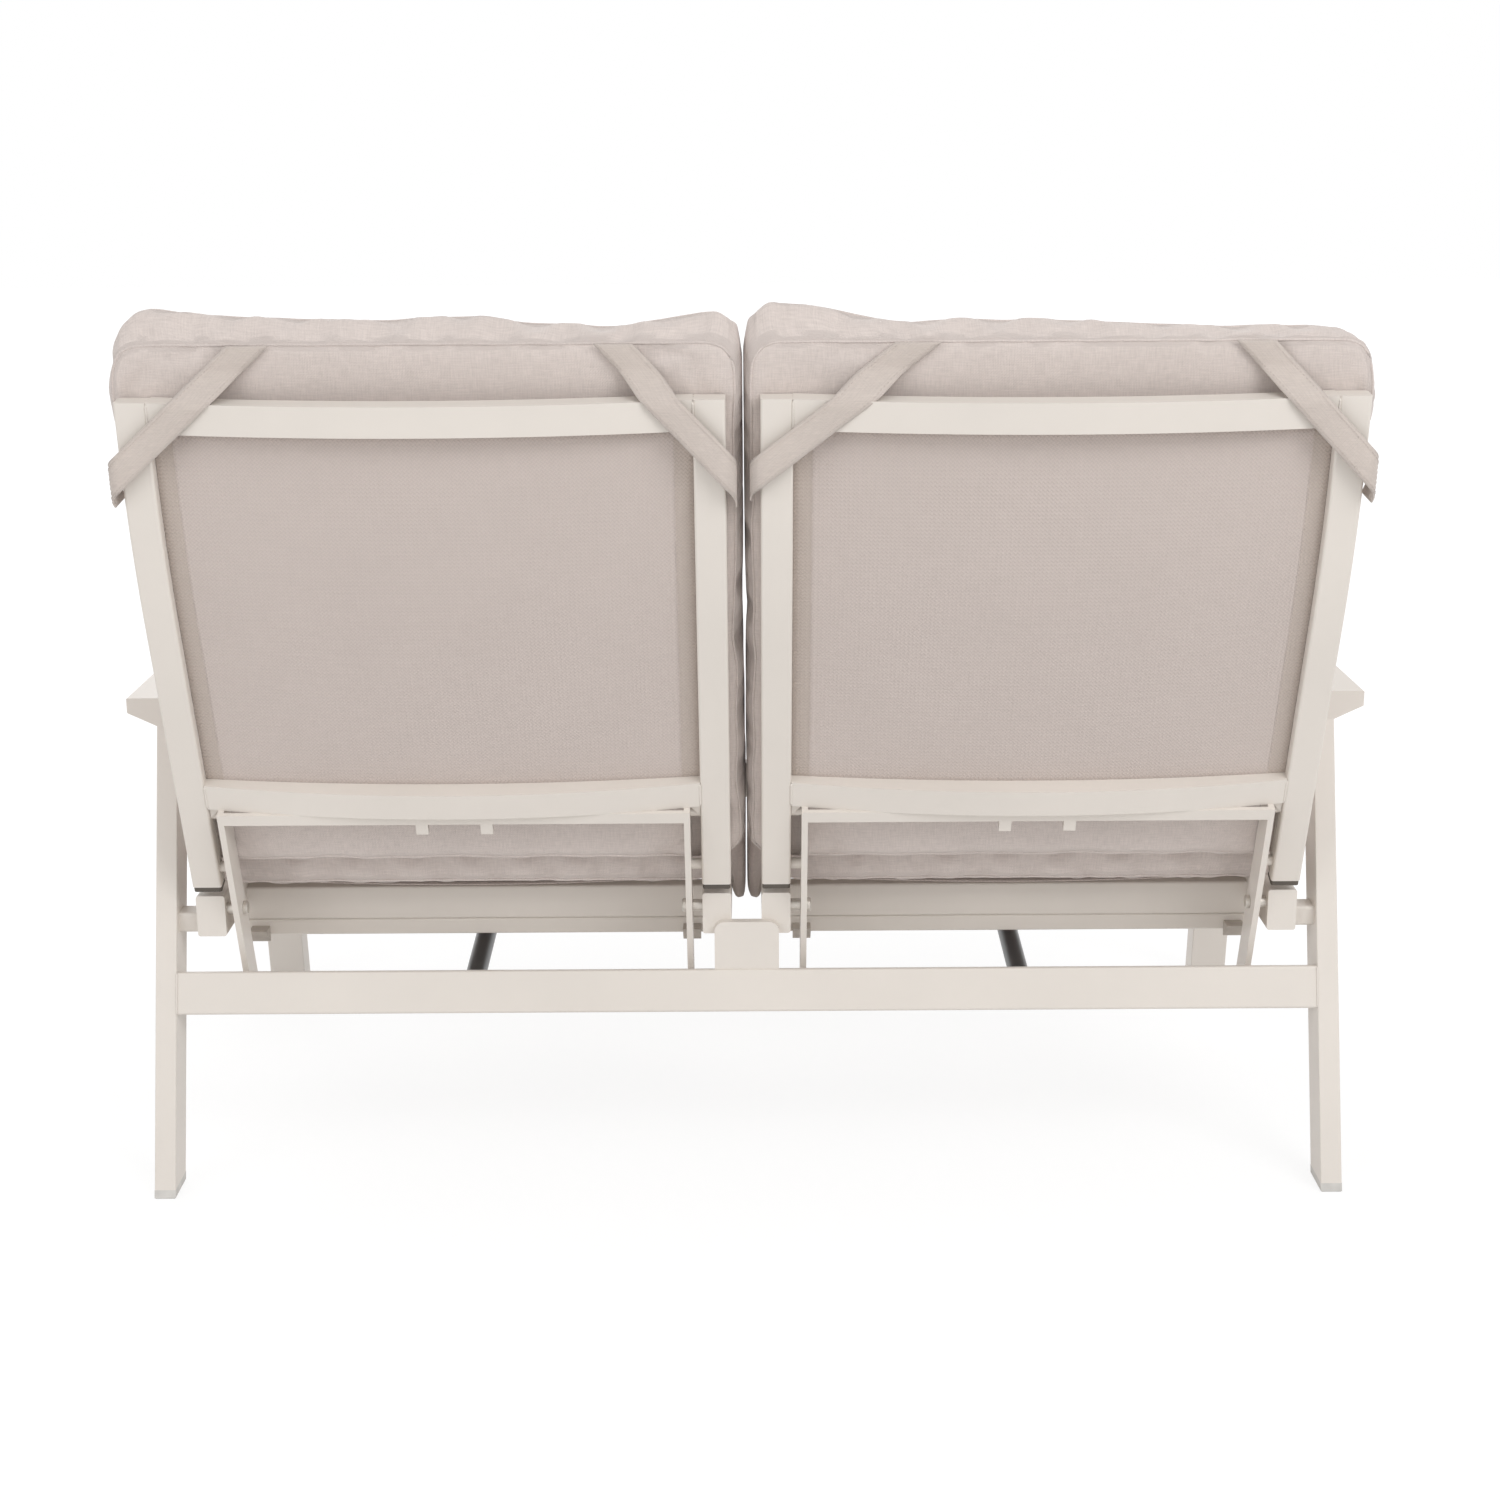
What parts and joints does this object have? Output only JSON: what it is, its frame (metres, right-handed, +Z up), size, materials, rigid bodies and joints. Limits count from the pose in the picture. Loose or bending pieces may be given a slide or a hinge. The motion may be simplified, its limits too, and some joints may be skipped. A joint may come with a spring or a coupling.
{
  "type": "reclining outdoor loveseat",
  "caption": "Outdoor loveseat with a tubular frame, flat arms, thick cushions and sling backs that recline separately on locking gas springs.",
  "frame": {"origin": "on the floor, under the middle of the whole loveseat's bounding box", "axes": "the seat faces -Y, +X is to the right of a person who looks at its front, +Z up"},
  "size_m": [1.468, 0.8708, 1.0389],
  "materials": {
    "frame_coat": "fine matt powder coat, warm light sand",
    "sling_weave": "coated mesh weave, greige",
    "cushion_cloth": "woven outdoor cloth, light taupe, with piped seams",
    "strap_cloth": "flat cloth strap, taupe",
    "dark_plastic": "moulded, dark taupe",
    "foot_plastic": "moulded, light grey",
    "stop_rubber": "moulded buffer",
    "steel": "zinc plated",
    "spring_black": "gloss black",
    "rod_chrome": "hard chrome"
  },
  "bodies": {
    "frame": {"centre_post": "frame_coat", "foot_caps": "foot_plastic", "front_rail": "frame_coat", "left_armrest": "frame_coat", "left_front_leg": "frame_coat", "left_inner_seat_rail": "frame_coat", "left_outer_seat_rail": "frame_coat", "left_rear_leg": "frame_coat", "left_seat_cushion": "cushion_cloth", "left_seat_rear_rail": "frame_coat", "left_seat_sling": "sling_weave", "leg_connectors": "frame_coat", "lever_stops": "stop_rubber", "lower_cross_tubes": "frame_coat", "pivot_bolts": "steel", "rear_stretcher": "frame_coat", "right_armrest": "frame_coat", "right_front_leg": "frame_coat", "right_inner_seat_rail": "frame_coat", "right_outer_seat_rail": "frame_coat", "right_rear_leg": "frame_coat", "right_seat_cushion": "cushion_cloth", "right_seat_rear_rail": "frame_coat", "right_seat_sling": "sling_weave", "spring_brackets": "frame_coat", "spring_cross_tubes": "frame_coat"},
    "right_back": {"right_back_cushion": "cushion_cloth", "right_back_sling": "sling_weave", "right_bottom_rail": "frame_coat", "right_corner_straps": "strap_cloth", "right_cross_bar": "frame_coat", "right_inner_lever": "frame_coat", "right_inner_stile": "frame_coat", "right_lever_spacers": "frame_coat", "right_outer_lever": "frame_coat", "right_outer_stile": "frame_coat", "right_spring_bar": "frame_coat", "right_stile_caps": "dark_plastic", "right_top_rail": "frame_coat"},
    "right_spring_cylinder": {"right_spring_cylinder": "spring_black"},
    "right_spring_rod": {"right_spring_rod": "rod_chrome"},
    "right_release": {"right_release_paddle": "dark_plastic"},
    "left_back": {"left_back_cushion": "cushion_cloth", "left_back_sling": "sling_weave", "left_bottom_rail": "frame_coat", "left_corner_straps": "strap_cloth", "left_cross_bar": "frame_coat", "left_inner_lever": "frame_coat", "left_inner_stile": "frame_coat", "left_lever_spacers": "frame_coat", "left_outer_lever": "frame_coat", "left_outer_stile": "frame_coat", "left_spring_bar": "frame_coat", "left_stile_caps": "dark_plastic", "left_top_rail": "frame_coat"},
    "left_spring_cylinder": {"left_spring_cylinder": "spring_black"},
    "left_spring_rod": {"left_spring_rod": "rod_chrome"},
    "left_release": {"left_release_paddle": "dark_plastic"}
  },
  "joints": [
    {"name": "right_recline", "type": "hinge", "parent": "frame", "child": "right_back", "pos_m": [0.334, 0.20155, 0.325], "axis": [-1, 0, 0], "range_deg": [0, 25]},
    {"name": "right_spring_swing", "type": "hinge", "parent": "frame", "child": "right_spring_rod", "pos_m": [0.334, -0.17045, 0.233], "axis": [1, 0, 0], "range_deg": [0, 5.5]},
    {"name": "right_spring_stroke", "type": "slide", "parent": "right_spring_rod", "child": "right_spring_cylinder", "axis": [0, -0.997, 0.0775], "range_m": [0, 0.05]},
    {"name": "right_release_lift", "type": "hinge", "parent": "frame", "child": "right_release", "pos_m": [0.334, -0.19245, 0.253], "axis": [-1, 0, 0], "range_deg": [0, 6]},
    {"name": "left_recline", "type": "hinge", "parent": "frame", "child": "left_back", "pos_m": [-0.334, 0.20155, 0.325], "axis": [-1, 0, 0], "range_deg": [0, 25]},
    {"name": "left_spring_swing", "type": "hinge", "parent": "frame", "child": "left_spring_rod", "pos_m": [-0.334, -0.17045, 0.233], "axis": [1, 0, 0], "range_deg": [0, 5.5]},
    {"name": "left_spring_stroke", "type": "slide", "parent": "left_spring_rod", "child": "left_spring_cylinder", "axis": [0, -0.997, 0.0775], "range_m": [0, 0.05]},
    {"name": "left_release_lift", "type": "hinge", "parent": "frame", "child": "left_release", "pos_m": [-0.334, -0.19245, 0.253], "axis": [-1, 0, 0], "range_deg": [0, 6]}
  ],
  "couplings": [
    {"joint": "right_spring_swing", "follows": "right_recline", "ratio": 0.17192},
    {"joint": "right_spring_stroke", "follows": "right_recline", "m_per_rad": 0.11071},
    {"joint": "left_spring_swing", "follows": "left_recline", "ratio": 0.17192},
    {"joint": "left_spring_stroke", "follows": "left_recline", "m_per_rad": 0.11071}
  ]
}
